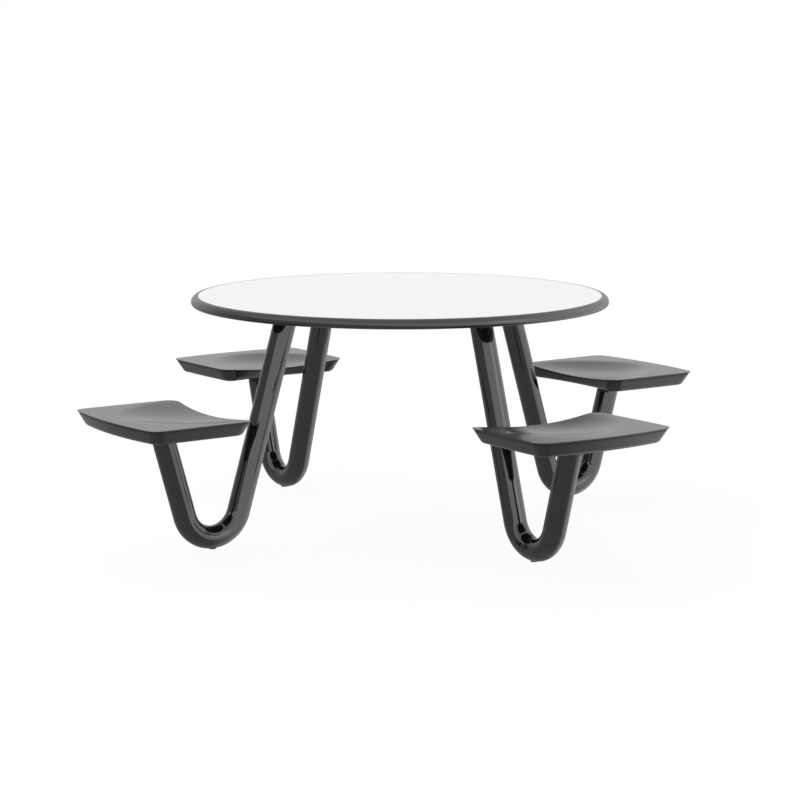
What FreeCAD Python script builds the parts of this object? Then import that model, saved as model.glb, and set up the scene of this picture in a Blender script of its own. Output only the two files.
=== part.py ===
import FreeCAD, Part

# Round dining table with four seats that swivel on the ends of its V-shaped tube legs.
# Millimetres, +Z up. The origin is on the floor below the centre of the round top, and
# leg 1 points along +X, leg 2 along +Y, leg 3 along -X and leg 4 along -Y.
# Everything of a leg is drawn once, along +X, and turned about Z to its own place.

import math
import os

import Sketcher

V = FreeCAD.Vector
LEG_TURNS = {1: 0.0, 2: 90.0, 3: 180.0, 4: 270.0}

# name, value in mm (or degrees, or a count), what it is
SIZES = [
    ("top_height", 763.5, "floor to the table surface"),
    ("top_diameter", 1372.0, "across the round top, over its edge moulding"),
    ("laminate_thickness", 1.2, "high-pressure laminate on the top face"),
    ("core_thickness", 28.0, "particle board core"),
    ("backer_thickness", 0.8, "balancing sheet on the underside"),
    ("edge_band_width", 24.0, "edge moulding, seen from above"),
    ("edge_top_round", 20.0, "upper round of the edge moulding"),
    ("edge_under_round", 9.5, "lower round of the edge moulding"),
    ("edge_key_height", 6.0, "tongue that locks the moulding into the core"),
    ("edge_key_depth", 8.0, "how far the tongue reaches into the core"),
    ("glue_gap", 0.05, "radial room in joints that are glued, pressed or welded"),
    ("merge_depth", 0.5, "how far two features of one piece run into each other"),
    ("drill_spare", 2.0, "blind hole past the end of its screw"),
    ("tube_diameter", 73.0, "outside of the leg tube"),
    ("tube_wall", 3.0, "wall of the leg tube"),
    ("bend_radius", 102.0, "centreline radius of the bend at the floor"),
    ("foot_radius", 725.0, "table axis to the lowest point of the bend"),
    ("table_arm_lean", 16.9, "lean of the long arm towards the table, degrees"),
    ("seat_arm_lean", 15.8, "lean of the short arm away from the table, degrees"),
    ("glide_drop", 1.5, "how far the floor glide stands proud of the tube"),
    ("glide_diameter", 24.0, "floor glide"),
    ("glide_height", 5.0, "height of the glide where it hugs the tube"),
    ("glide_stem", 10.0, "stem of the glide, through the tube wall"),
    ("glide_stem_length", 9.0, "stem length above the floor face"),
    ("flange_length", 150.0, "leg flange along the leg's direction"),
    ("flange_width", 120.0, "leg flange across the leg's direction"),
    ("flange_thickness", 8.0, "leg flange, welded on the long arm"),
    ("plate_thickness", 8.0, "frame plate that the leg flange bolts to"),
    ("plate_corner", 12.0, "corner radius of flanges and plates"),
    ("bolt_spacing_long", 118.0, "bolts along the leg's direction"),
    ("bolt_spacing_wide", 88.0, "bolts across the leg's direction"),
    ("bolt_diameter", 10.0, "bolt shank"),
    ("bolt_room", 1.0, "added to a shank for its clearance hole"),
    ("bolt_head_across", 17.0, "hexagon across flats"),
    ("bolt_head_height", 6.4, "hexagon head"),
    ("insert_diameter", 16.0, "threaded insert in the core"),
    ("insert_length", 19.0, "threaded insert"),
    ("bolt_grip", 15.0, "thread that a bolt has in its insert"),
    ("beam_width", 50.0, "cross beam under the top"),
    ("beam_height", 25.0, "cross beam under the top"),
    ("beam_wall", 2.0, "wall of the cross beam"),
    ("beam_gap", 2.0, "leg flange to the end of its cross beam"),
    ("seat_height", 444.5, "floor to the seat's flat rim"),
    ("seat_thickness", 47.0, "seat, rim to underside"),
    ("seat_corner", 36.5, "corner radius in plan"),
    ("seat_front_reach", 142.5, "pivot to the corner centres next to the table"),
    ("seat_back_reach", 143.0, "pivot to the outer corner centres"),
    ("seat_front_half", 216.0, "middle to a corner centre next to the table"),
    ("seat_back_half", 219.5, "middle to an outer corner centre"),
    ("seat_front_hollow", 15.5, "rise of the inward bow between those corner centres"),
    ("seat_back_bow", 17.5, "rise of the outward bow between the outer corner centres"),
    ("seat_side_bow", 1.5, "rise of each side's bow between its corner centres"),
    ("seat_side_taper", 26.0, "how far both sides draw in, top to bottom"),
    ("seat_back_taper", 19.0, "how far the outer edge draws in"),
    ("seat_front_taper", 15.5, "how far the edge next to the table draws in"),
    ("seat_under_round", 18.0, "round along the lower edge"),
    ("rim_bead_height", 3.2, "bead along the rim of the seat"),
    ("rim_bead_depth", 1.0, "how far that bead stands proud of the sides"),
    ("seat_wall", 5.0, "wall of the seat moulding"),
    ("seat_lip", 18.0, "in-turned lip round the open underside"),
    ("dish_front_place", -200.0, "dish past the table edge: place from the pivot"),
    ("dish_front_depth", 14.0, "depth there"),
    ("dish_front_arc", 1900.0, "radius across the leg's direction there"),
    ("dish_low_place", -78.0, "deepest part of the dish: place from the pivot"),
    ("dish_low_depth", 19.0, "depth there"),
    ("dish_low_arc", 1370.0, "radius across there"),
    ("dish_slope_place", 42.0, "rear slope of the dish: place from the pivot"),
    ("dish_slope_depth", 13.0, "depth there"),
    ("dish_slope_arc", 950.0, "radius across there"),
    ("dish_end_place", 135.0, "where the dish runs out: place from the pivot"),
    ("dish_end_depth", 0.0, "depth there"),
    ("dish_end_arc", 850.0, "radius across there"),
    ("dish_past_place", 190.0, "past the end of the dish: place from the pivot"),
    ("dish_past_depth", -8.0, "depth there, above the rim"),
    ("dish_past_arc", 850.0, "radius across there"),
    ("dish_clearance", 12.0, "how far the dish cutter reaches above the rim"),
    ("rib_thickness", 4.0, "ribs inside the seat moulding"),
    ("rib_spacing", 96.0, "from one rib to the next"),
    ("boss_diameter", 24.0, "screw boss inside the seat moulding"),
    ("pan_thickness", 4.0, "panel that closes the underside of the seat"),
    ("pan_gap", 0.6, "room round the panel"),
    ("bracket_side", 184.0, "square seat bracket"),
    ("bracket_thickness", 6.0, "seat bracket"),
    ("bracket_bolt_spacing", 140.0, "seat screws, square pattern"),
    ("seat_screw_diameter", 8.0, "seat screw shank"),
    ("seat_screw_head", 16.0, "seat screw head"),
    ("seat_screw_head_height", 4.0, "seat screw head"),
    ("seat_screw_length", 19.0, "seat screw shank"),
    ("housing_diameter", 60.0, "swivel housing"),
    ("housing_bore", 36.0, "swivel housing, for the bushes"),
    ("housing_drop", 25.0, "housing below the seat's underside"),
    ("housing_rise", 10.0, "housing above the seat's underside"),
    ("bush_length", 9.0, "each of the two bushes"),
    ("running_gap", 0.05, "radial room between spindle and bush"),
    ("spindle_diameter", 25.0, "spindle"),
    ("spindle_collar", 34.0, "collar that stops the spindle under the cap"),
    ("spindle_collar_length", 10.0, "collar"),
    ("end_play", 0.3, "axial room above the housing and round the spring"),
    ("washer_diameter", 44.0, "retaining washer on the spindle"),
    ("washer_thickness", 3.0, "retaining washer"),
    ("retainer_diameter", 10.0, "retaining screw shank"),
    ("retainer_length", 18.0, "retaining screw in the spindle"),
    ("retainer_head", 20.0, "retaining screw head"),
    ("retainer_head_height", 3.5, "retaining screw head"),
    ("cap_diameter", 72.0, "cap welded on the end of the short arm"),
    ("cap_thickness", 6.0, "cap"),
    ("thrust_thickness", 3.0, "thrust washer"),
    ("thrust_diameter", 58.0, "thrust washer"),
    ("stop_height", 9.0, "stop rib above the cap"),
    ("stop_wall", 4.0, "stop rib, in from the cap's edge"),
    ("swivel_limit", 90.0, "how far a seat turns each way, degrees"),
    ("lug_half_angle", 14.0, "half of the stop lug on the housing, degrees"),
    ("lug_room", 1.0, "angle left between lug and stop rib, degrees"),
    ("lug_lift", 4.0, "lug above the cap"),
    ("lug_height", 10.0, "stop lug"),
    ("lug_inset", 0.8, "stop lug in from the cap's edge"),
    ("spring_wire", 2.8, "side of the square wire of the return spring"),
    ("spring_turns", 3.5, "turns of the return spring"),
    ("spring_gap", 0.8, "inside of the spring to the spindle"),
]

# Places and sizes that follow from the ones above: name, expression
LAYOUT = [
    ("top_radius", "Sizes.top_diameter / 2"),
    ("core_radius", "Layout.top_radius - Sizes.edge_band_width"),
    ("core_top", "Sizes.top_height - Sizes.laminate_thickness"),
    ("core_bottom", "Layout.core_top - Sizes.core_thickness"),
    ("underside", "Layout.core_bottom - Sizes.backer_thickness"),
    ("key_middle", "Layout.core_bottom + Sizes.core_thickness / 2"),
    ("tube_radius", "Sizes.tube_diameter / 2"),
    ("bend_height", "Sizes.glide_drop + Layout.tube_radius + Sizes.bend_radius"),
    ("table_arc_x", "Sizes.foot_radius - Sizes.bend_radius * cos(Sizes.table_arm_lean * 1 deg)"),
    ("table_arc_z", "Layout.bend_height - Sizes.bend_radius * sin(Sizes.table_arm_lean * 1 deg)"),
    ("seat_arc_x", "Sizes.foot_radius + Sizes.bend_radius * cos(Sizes.seat_arm_lean * 1 deg)"),
    ("seat_arc_z", "Layout.bend_height - Sizes.bend_radius * sin(Sizes.seat_arm_lean * 1 deg)"),
    ("plate_bottom", "Layout.underside - Sizes.plate_thickness"),
    ("flange_bottom", "Layout.plate_bottom - Sizes.flange_thickness"),
    ("flange_x", "Layout.table_arc_x"
                 " - (Layout.flange_bottom - Layout.table_arc_z) * tan(Sizes.table_arm_lean * 1 deg)"),
    ("beam_end", "Layout.flange_x - Sizes.flange_length / 2 - Sizes.beam_gap"),
    ("seat_underside", "Sizes.seat_height - Sizes.seat_thickness"),
    ("housing_bottom", "Layout.seat_underside - Sizes.housing_drop"),
    ("housing_top", "Layout.seat_underside + Sizes.housing_rise"),
    ("cap_top", "Layout.housing_bottom - Sizes.thrust_thickness"),
    ("arm_end", "Layout.cap_top - Sizes.cap_thickness"),
    ("pivot_x", "Layout.seat_arc_x + (Layout.arm_end - Layout.seat_arc_z) * tan(Sizes.seat_arm_lean * 1 deg)"),
    ("spindle_top", "Layout.housing_top + Sizes.end_play"),
    ("pan_top", "Layout.seat_underside + Sizes.pan_thickness"),
    ("bracket_bottom", "Layout.seat_underside - Sizes.bracket_thickness"),
]

doc = FreeCAD.newDocument("table_with_swivel_seats")
nodes = {}


# ---------------------------------------------------------------- the spreadsheet

def fill_sheet():
    sheet = doc.addObject("Spreadsheet::Sheet", "Sizes")
    for row, (alias, value, meaning) in enumerate(SIZES, 1):
        sheet.set("A%d" % row, alias)
        sheet.set("B%d" % row, str(value))
        sheet.set("C%d" % row, meaning)
        sheet.setAlias("B%d" % row, alias)
    doc.recompute()
    layout = doc.addObject("App::VarSet", "Layout")
    for name, expression in LAYOUT:
        layout.addProperty("App::PropertyFloat", name, "Layout", "follows from the sheet")
        layout.setExpression(name, expression)
    doc.recompute()
    return layout


places = fill_sheet()


def number(expression):
    """The present value of an expression in the sheet's names."""
    result = places.evalExpression(expression)
    return float(getattr(result, "Value", result))


# ---------------------------------------------------------------- small helpers

def register(obj, name, turn=0.0):
    """Names a finished sub-part and turns it about Z to its place."""
    obj.Label = name
    obj.Placement = FreeCAD.Placement(V(0, 0, 0), FreeCAD.Rotation(V(0, 0, 1), turn))
    nodes[name] = obj
    return obj


def clone(source, name, turn):
    """A body that repeats another sub-part, turned about Z to its own leg."""
    body = doc.addObject("PartDesign::Body", name)
    copy = body.newObject("PartDesign::FeatureBase", "Clone")
    copy.BaseFeature = source
    return register(body, name, turn)


def new_body(name):
    body = doc.addObject("PartDesign::Body", name)
    body.AllowCompound = True
    return body


def new_sketch(body, name, role, x="0", y="0", z="0"):
    """A sketch on one of the body's origin planes, moved by x, y, z in the sketch's own axes."""
    sketch = body.newObject("Sketcher::SketchObject", name)
    plane = next(f for f in body.Origin.OriginFeatures if f.Role == role)
    sketch.AttachmentSupport = [(plane, "")]
    sketch.MapMode = "FlatFace"
    for axis, expression in (("x", x), ("y", y), ("z", z)):
        if expression != "0":
            sketch.setExpression("AttachmentOffset.Base." + axis, expression)
    return sketch


def bind(sketch, constraint, expression):
    index = sketch.addConstraint(constraint)
    sketch.setExpression("Constraints[%d]" % index, expression)


def pin(sketch, geometry, point, x, y):
    """Holds a point of the sketch at the expressions x, y."""
    for kind, axis, expression in (("DistanceX", -2, x), ("DistanceY", -1, y)):
        if expression == "0":
            sketch.addConstraint(Sketcher.Constraint("PointOnObject", geometry, point, axis))
        else:
            value = number(expression)
            bind(sketch, Sketcher.Constraint(kind, -1, 1, geometry, point, value), expression)


def draw(sketch, start, runs):
    """A closed outline. Each run is (x, y) for a straight line to that point, or
    (x, y, radius, side) for an arc of that radius: side +1 bulges to the left of the way, -1 right."""
    first = None
    here = start
    for run in runs:
        a = V(number(here[0]), number(here[1]), 0)
        b = V(number(run[0]), number(run[1]), 0)
        if len(run) == 2:
            index = sketch.addGeometry(Part.LineSegment(a, b))
            ends = (1, 2)
        else:
            radius = number(run[2])
            half = (b - a).Length / 2
            left = V(a.y - b.y, b.x - a.x, 0).normalize()
            rise = radius - math.sqrt(max(radius * radius - half * half, 0.0))
            middle = (a + b) * 0.5 + left * (rise * run[3])
            index = sketch.addGeometry(Part.Arc(a, middle, b))
            ends = (1, 2) if sketch.getPoint(index, 1).distanceToPoint(a) < 1e-6 else (2, 1)
            bind(sketch, Sketcher.Constraint("Radius", index, radius), run[2])
        pin(sketch, index, ends[1], run[0], run[1])
        if first is None:
            first = (index, ends[0])
        else:
            sketch.addConstraint(Sketcher.Constraint("Coincident", last[0], last[1], index, ends[0]))
        last = (index, ends[1])
        here = run
    sketch.addConstraint(Sketcher.Constraint("Coincident", last[0], last[1], first[0], first[1]))


def circle(sketch, radius, x="0", y="0"):
    centre = V(number(x), number(y), 0)
    index = sketch.addGeometry(Part.Circle(centre, V(0, 0, 1), number(radius)))
    bind(sketch, Sketcher.Constraint("Radius", index, number(radius)), radius)
    if x == "0" and y == "0":
        sketch.addConstraint(Sketcher.Constraint("Coincident", index, 3, -1, 1))
    else:
        pin(sketch, index, 3, x, y)


def rectangle(sketch, x_low, x_high, y_low, y_high):
    draw(sketch, (x_low, y_low), [(x_high, y_low), (x_high, y_high), (x_low, y_high), (x_low, y_low)])


def four_circles(sketch, radius, half_x, half_y):
    for sign_x in ("", "-"):
        for sign_y in ("", "-"):
            circle(sketch, radius, "%s(%s)" % (sign_x, half_x), "%s(%s)" % (sign_y, half_y))


def pad(body, sketch, length):
    """Extrudes the sketch upwards, the way its plane faces."""
    feature = body.newObject("PartDesign::Pad", "Pad")
    feature.Profile = sketch
    feature.setExpression("Length", length)
    return feature


def cut_up(body, sketch, length):
    """Cuts from the sketch upwards."""
    feature = body.newObject("PartDesign::Pocket", "Pocket")
    feature.Profile = sketch
    feature.setExpression("Length", length)
    feature.Reversed = True
    return feature


def revolve(body, sketch, kind="PartDesign::Revolution"):
    feature = body.newObject(kind, "Turned")
    feature.Profile = sketch
    feature.ReferenceAxis = (sketch, ["V_Axis"])
    feature.Angle = 360.0
    return feature


def at_every_leg(body, originals):
    """Repeats features about Z, once for each leg."""
    feature = body.newObject("PartDesign::PolarPattern", "AtEveryLeg")
    feature.Originals = originals
    feature.Axis = (next(f for f in body.Origin.OriginFeatures if f.Role == "Z_Axis"), [""])
    feature.Angle = 360.0
    feature.Occurrences = len(LEG_TURNS)
    body.Tip = feature
    return feature


def fillet(body, base, radius, wanted):
    """Rounds the edges of the base feature that the test picks."""
    doc.recompute()
    names = ["Edge%d" % (i + 1) for i, edge in enumerate(base.Shape.Edges) if wanted(edge)]
    feature = body.newObject("PartDesign::Fillet", "Round")
    feature.Base = (base, names)
    feature.setExpression("Radius", radius)
    return feature


def upright(edge):
    """True for a straight edge that climbs, such as a plate's corner."""
    if edge.Curve.TypeId != "Part::GeomLine":
        return False
    a, b = (vertex.Point for vertex in edge.Vertexes)
    return abs(a.z - b.z) > 0.9 * a.distanceToPoint(b)


def upright_cylinder(name, radius, bottom, height, x="0", y="0"):
    cylinder = doc.addObject("Part::Cylinder", name)
    cylinder.setExpression("Radius", radius)
    cylinder.setExpression("Height", height)
    for axis, place in (("x", x), ("y", y), ("z", bottom)):
        cylinder.setExpression("Placement.Base." + axis, place)
    return cylinder


def boolean(kind, name, **links):
    """A Part boolean or compound with its inputs."""
    feature = doc.addObject(kind, name)
    for key, value in links.items():
        setattr(feature, key, value)
    return feature


# ---------------------------------------------------------------- the round top

def disc(name, bottom, thickness):
    """A round sheet or board inside the edge moulding."""
    body = new_body(name)
    outline = new_sketch(body, "Outline", "XY_Plane", z=bottom)
    circle(outline, "Layout.core_radius")
    pad(body, outline, thickness)
    return body


def leg_bolt_circles(sketch, radius):
    """Four circles where the bolts of one leg stand; the sketch's zero is the end of the long arm."""
    four_circles(sketch, radius, "Sizes.bolt_spacing_long / 2", "Sizes.bolt_spacing_wide / 2")


def leg_bolt_holes(body, radius, bottom, depth):
    holes = new_sketch(body, "BoltHoles", "XY_Plane", x="Layout.flange_x", z=bottom)
    leg_bolt_circles(holes, radius)
    at_every_leg(body, [cut_up(body, holes, depth)])


def laminate_top():
    register(disc("laminate_top", "Layout.core_top", "Sizes.laminate_thickness"), "laminate_top")


def backer_sheet():
    """Sheet with a hole round each insert."""
    body = disc("backer_sheet", "Layout.underside", "Sizes.backer_thickness")
    leg_bolt_holes(body, "Sizes.insert_diameter / 2", "Layout.underside", "Sizes.backer_thickness")
    register(body, "backer_sheet")


def core_board():
    """Board with blind holes for the inserts and a groove round its edge for the moulding's tongue."""
    body = disc("core_board", "Layout.core_bottom", "Sizes.core_thickness")
    leg_bolt_holes(body, "Sizes.insert_diameter / 2 + Sizes.glue_gap",
                   "Layout.core_bottom", "Sizes.insert_length")
    slot = new_sketch(body, "EdgeSlot", "XZ_Plane")
    half = "(Sizes.edge_key_height / 2 + Sizes.glue_gap)"
    rectangle(slot, "Layout.core_radius - Sizes.edge_key_depth - Sizes.glue_gap",
              "Layout.core_radius + Sizes.merge_depth",
              "Layout.key_middle - " + half, "Layout.key_middle + " + half)
    revolve(body, slot, "PartDesign::Groove")
    register(body, "core_board")


def edge_moulding():
    """Bull-nose band with a tongue on its inner side; its top is flush with the laminate."""
    body = new_body("edge_moulding")
    section = new_sketch(body, "Section", "XZ_Plane")
    inner = "Layout.core_radius + Sizes.glue_gap"
    tip = "Layout.core_radius - Sizes.edge_key_depth"
    low = "Layout.key_middle - Sizes.edge_key_height / 2"
    high = "Layout.key_middle + Sizes.edge_key_height / 2"
    rim = "Sizes.top_height - Sizes.edge_top_round"
    heel = "Layout.underside + Sizes.edge_under_round"
    draw(section, (inner, "Sizes.top_height"), [
        ("Layout.top_radius - Sizes.edge_top_round", "Sizes.top_height"),
        ("Layout.top_radius", rim, "Sizes.edge_top_round", 1),
        ("Layout.top_radius", heel),
        ("Layout.top_radius - Sizes.edge_under_round", "Layout.underside", "Sizes.edge_under_round", 1),
        (inner, "Layout.underside"),
        (inner, low),
        (tip, low),
        (tip, high),
        (inner, high),
        (inner, "Sizes.top_height"),
    ])
    revolve(body, section)
    register(body, "edge_moulding")


# ---------------------------------------------------------------- the steel frame under the top

def box_beam(name, start, end, turn):
    """Rectangular tube lying flat under the top, from start to end along X before it is turned."""
    body = new_body(name)
    section = new_sketch(body, "Section", "YZ_Plane", z=start)
    half = "Sizes.beam_width / 2"
    low = "Layout.underside - Sizes.beam_height"
    rectangle(section, "-(%s)" % half, half, low, "Layout.underside")
    rectangle(section, "-(%s) + Sizes.beam_wall" % half, "%s - Sizes.beam_wall" % half,
              "%s + Sizes.beam_wall" % low, "Layout.underside - Sizes.beam_wall")
    pad(body, section, "%s - (%s)" % (end, start))
    register(body, name, turn)


def cross_beams():
    box_beam("cross_beam_long", "-Layout.beam_end", "Layout.beam_end", LEG_TURNS[1])
    box_beam("cross_beam_short_2", "Sizes.beam_width / 2", "Layout.beam_end", LEG_TURNS[2])
    box_beam("cross_beam_short_4", "Sizes.beam_width / 2", "Layout.beam_end", LEG_TURNS[4])


def bolted_plate(name, inner_end, bottom, thickness):
    """Steel plate with rounded corners and four bolt holes, centred on the end of the long arm."""
    body = new_body(name)
    outline = new_sketch(body, "Outline", "XY_Plane", x="Layout.flange_x", z=bottom)
    half_width = "Sizes.flange_width / 2"
    rectangle(outline, inner_end, "Sizes.flange_length / 2", "-(%s)" % half_width, half_width)
    leg_bolt_circles(outline, "(Sizes.bolt_diameter + Sizes.bolt_room) / 2")
    slab = pad(body, outline, thickness)
    rounded = fillet(body, slab, "Sizes.plate_corner", upright)
    return body, slab, rounded


def frame_plates():
    """The four plates welded to the ends of the cross beams; each plate's inner edge meets its beam."""
    body, slab, rounded = bolted_plate("frame_plates", "-(Sizes.flange_length / 2 + Sizes.beam_gap)",
                                       "Layout.plate_bottom", "Sizes.plate_thickness")
    at_every_leg(body, [slab, rounded])
    register(body, "frame_plates")


def leg_flange(name):
    body, slab, rounded = bolted_plate(name, "-(Sizes.flange_length / 2)",
                                       "Layout.flange_bottom", "Sizes.flange_thickness")
    return body


def hexagon(sketch, across, x, y):
    """A hexagon about x, y with a corner towards +X, by its size across the flats."""
    corner = "((%s) / (2 * cos(30 deg)))" % across
    start = ("%s + %s" % (x, corner), y)
    rest = [("%s + %s * cos(%d deg)" % (x, corner, turn), "%s + %s * sin(%d deg)" % (y, corner, turn))
            for turn in (60, 120, 180, 240, 300)]
    draw(sketch, start, rest + [start])


def top_bolts():
    """Hexagon bolts, four to a leg, from below through flange and plate into the core's inserts."""
    body = new_body("top_bolts")
    head_low = "Layout.flange_bottom - Sizes.bolt_head_height"
    heads = new_sketch(body, "Heads", "XY_Plane", x="Layout.flange_x", z=head_low)
    for sign_x in ("", "-"):
        for sign_y in ("", "-"):
            hexagon(heads, "Sizes.bolt_head_across", sign_x + "Sizes.bolt_spacing_long / 2",
                    sign_y + "Sizes.bolt_spacing_wide / 2")
    shanks = new_sketch(body, "Shanks", "XY_Plane", x="Layout.flange_x", z=head_low)
    leg_bolt_circles(shanks, "Sizes.bolt_diameter / 2")
    length = ("Sizes.bolt_head_height + Sizes.flange_thickness + Sizes.plate_thickness"
              " + Sizes.backer_thickness + Sizes.bolt_grip")
    at_every_leg(body, [pad(body, heads, "Sizes.bolt_head_height"), pad(body, shanks, length)])
    register(body, "top_bolts")


def threaded_inserts():
    """Steel inserts, flush with the underside of the core, that take the leg bolts."""
    body = new_body("threaded_inserts")
    rings = new_sketch(body, "Rings", "XY_Plane", x="Layout.flange_x", z="Layout.core_bottom")
    leg_bolt_circles(rings, "Sizes.insert_diameter / 2")
    leg_bolt_circles(rings, "Sizes.bolt_diameter / 2 + Sizes.glue_gap")
    at_every_leg(body, [pad(body, rings, "Sizes.insert_length")])
    register(body, "threaded_inserts")


# ---------------------------------------------------------------- legs

def leg_tube(name):
    """One tube bent to a V: the long arm up to the table, the bend on the floor, the short arm to
    the seat. Both ends are cut level, and a hole in the bend takes the stem of the floor glide."""
    body = new_body(name)
    spare = "Sizes.tube_diameter"
    path = new_sketch(body, "Path", "XZ_Plane")
    table_end = ("Layout.flange_x - (%s) * tan(Sizes.table_arm_lean * 1 deg)" % spare,
                 "Layout.flange_bottom + %s" % spare)
    seat_end = ("Layout.pivot_x + (%s) * tan(Sizes.seat_arm_lean * 1 deg)" % spare,
                "Layout.arm_end + %s" % spare)
    table_arc = ("Layout.table_arc_x", "Layout.table_arc_z")
    seat_arc = ("Layout.seat_arc_x", "Layout.seat_arc_z")
    points = [V(number(x), number(y), 0) for x, y in (table_end, table_arc, seat_arc, seat_end)]
    floor_point = V(number("Sizes.foot_radius"), number("Layout.bend_height - Sizes.bend_radius"), 0)
    long_arm = path.addGeometry(Part.LineSegment(points[0], points[1]))
    bend = path.addGeometry(Part.Arc(points[1], floor_point, points[2]))
    short_arm = path.addGeometry(Part.LineSegment(points[2], points[3]))
    pin(path, long_arm, 1, *table_end)
    pin(path, long_arm, 2, *table_arc)
    path.addConstraint(Sketcher.Constraint("Coincident", long_arm, 2, bend, 1))
    path.addConstraint(Sketcher.Constraint("Coincident", bend, 2, short_arm, 1))
    pin(path, short_arm, 1, *seat_arc)
    pin(path, short_arm, 2, *seat_end)
    bind(path, Sketcher.Constraint("Radius", bend, number("Sizes.bend_radius")), "Sizes.bend_radius")
    doc.recompute()
    ring = body.newObject("Sketcher::SketchObject", "TubeSection")
    ring.AttachmentSupport = [(path, "Edge1")]
    ring.MapMode = "NormalToEdge"
    circle(ring, "Layout.tube_radius")
    circle(ring, "Layout.tube_radius - Sizes.tube_wall")
    tube = body.newObject("PartDesign::AdditivePipe", "Tube")
    tube.Profile = ring
    tube.Spine = (path, ["Edge1", "Edge2", "Edge3"])
    ends = (("Layout.flange_bottom", "Layout.flange_x"), ("Layout.arm_end", "Layout.pivot_x"))
    for end_height, centre in ends:
        level = new_sketch(body, "LevelCut", "XY_Plane", x=centre, z=end_height)
        rectangle(level, "-1.5 * Sizes.tube_diameter", "1.5 * Sizes.tube_diameter",
                  "-Sizes.tube_diameter", "Sizes.tube_diameter")
        cut_up(body, level, "3 * Sizes.tube_diameter")
    stem = new_sketch(body, "GlideHole", "XY_Plane", x="Sizes.foot_radius")
    circle(stem, "Sizes.glide_stem / 2 + Sizes.glue_gap")
    cut_up(body, stem, "Layout.tube_radius")
    return body


def floor_glides():
    """Nylon buttons: each hugs the bend of its tube and is held by a stem through the tube wall."""
    glides = []
    for turn in LEG_TURNS.values():
        button = upright_cylinder("Button", "Sizes.glide_diameter / 2", "0", "Sizes.glide_height")
        bend = doc.addObject("Part::Torus", "Bend")
        bend.setExpression("Radius1", "Sizes.bend_radius")
        bend.setExpression("Radius2", "Layout.tube_radius + Sizes.glue_gap")
        bend.Placement = FreeCAD.Placement(V(0, 0, 0), FreeCAD.Rotation(V(1, 0, 0), 90))
        bend.setExpression("Placement.Base.z", "Layout.bend_height")
        stem = upright_cylinder("Stem", "Sizes.glide_stem / 2", "0", "Sizes.glide_stem_length")
        cup = boolean("Part::Cut", "Cup", Base=button, Tool=bend)
        glide = boolean("Part::Fuse", "Glide", Base=cup, Tool=stem)
        glide.Placement = FreeCAD.Placement(V(0, 0, 0), FreeCAD.Rotation(V(0, 0, 1), turn))
        glide.setExpression("Placement.Base.x", "Sizes.foot_radius * cos(%g deg)" % turn)
        glide.setExpression("Placement.Base.y", "Sizes.foot_radius * sin(%g deg)" % turn)
        glides.append(glide)
    register(boolean("Part::Compound", "floor_glides", Links=glides), "floor_glides")


# ---------------------------------------------------------------- swivel, fixed side

def turned(body, points):
    """Adds a piece turned about the pivot: its section is drawn from the pivot outwards."""
    section = new_sketch(body, "Section", "XZ_Plane", x="Layout.pivot_x")
    draw(section, points[-1], points)
    return revolve(body, section)


def turned_at_every_leg(name, points):
    """The same turned piece on each of the four pivots, as one node of separate solids."""
    body = new_body(name)
    at_every_leg(body, [turned(body, points)])
    register(body, name)


def ring_points(inner, outer, bottom, top):
    return [(outer, bottom), (outer, top), (inner, top), (inner, bottom)]


def arc_sector(body, inner, outer, bottom, height, start, end):
    """Adds a curved block about the pivot, between two radii and two angles from +X."""
    sketch = new_sketch(body, "Sector", "XY_Plane", x="Layout.pivot_x", z=bottom)

    def at(radius, angle):
        return "(%s) * cos(%s)" % (radius, angle), "(%s) * sin(%s)" % (radius, angle)

    draw(sketch, at(inner, start), [
        at(outer, start),
        at(outer, end) + (outer, -1),
        at(inner, end),
        at(inner, start) + (inner, 1),
    ])
    return pad(body, sketch, height)


def arm_cap(name):
    """Cap on the end of the short arm, with the hole for the spindle and the rib that stops the seat."""
    hole = "Sizes.spindle_diameter / 2 + Sizes.glue_gap"
    edge = "Sizes.cap_diameter / 2"
    body = new_body(name)
    turned(body, ring_points(hole, edge, "Layout.arm_end", "Layout.cap_top"))
    free = "(Sizes.swivel_limit + Sizes.lug_half_angle + Sizes.lug_room)"
    arc_sector(body, edge + " - Sizes.stop_wall", edge,
               "Layout.cap_top - Sizes.merge_depth", "Sizes.stop_height + Sizes.merge_depth",
               "%s * 1 deg" % free, "(360 - %s) * 1 deg" % free)
    return body


def spindle(name):
    """Spindle, pulled up through the cap against its collar, with a tapped hole in its top."""
    shaft = "Sizes.spindle_diameter / 2"
    collar = "Sizes.spindle_collar / 2"
    tapped = "Sizes.retainer_diameter / 2 + Sizes.glue_gap"
    foot = "Layout.arm_end - Sizes.spindle_collar_length"
    hole_floor = "Layout.spindle_top - Sizes.retainer_length - Sizes.drill_spare"
    body = new_body(name)
    turned(body, [
        (collar, foot), (collar, "Layout.arm_end"), (shaft, "Layout.arm_end"), (shaft, "Layout.spindle_top"),
        (tapped, "Layout.spindle_top"), (tapped, hole_floor), ("0", hole_floor), ("0", foot),
    ])
    return body


def thrust_washers():
    """Nylon washers between caps and housings, which carry the sitters' weight."""
    turned_at_every_leg("thrust_washers", ring_points(
        "Sizes.spindle_diameter / 2 + Sizes.glue_gap", "Sizes.thrust_diameter / 2",
        "Layout.cap_top", "Layout.housing_bottom"))


def retaining_washers():
    turned_at_every_leg("retaining_washers", ring_points(
        "Sizes.retainer_diameter / 2 + Sizes.glue_gap", "Sizes.washer_diameter / 2",
        "Layout.spindle_top", "Layout.spindle_top + Sizes.washer_thickness"))


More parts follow.
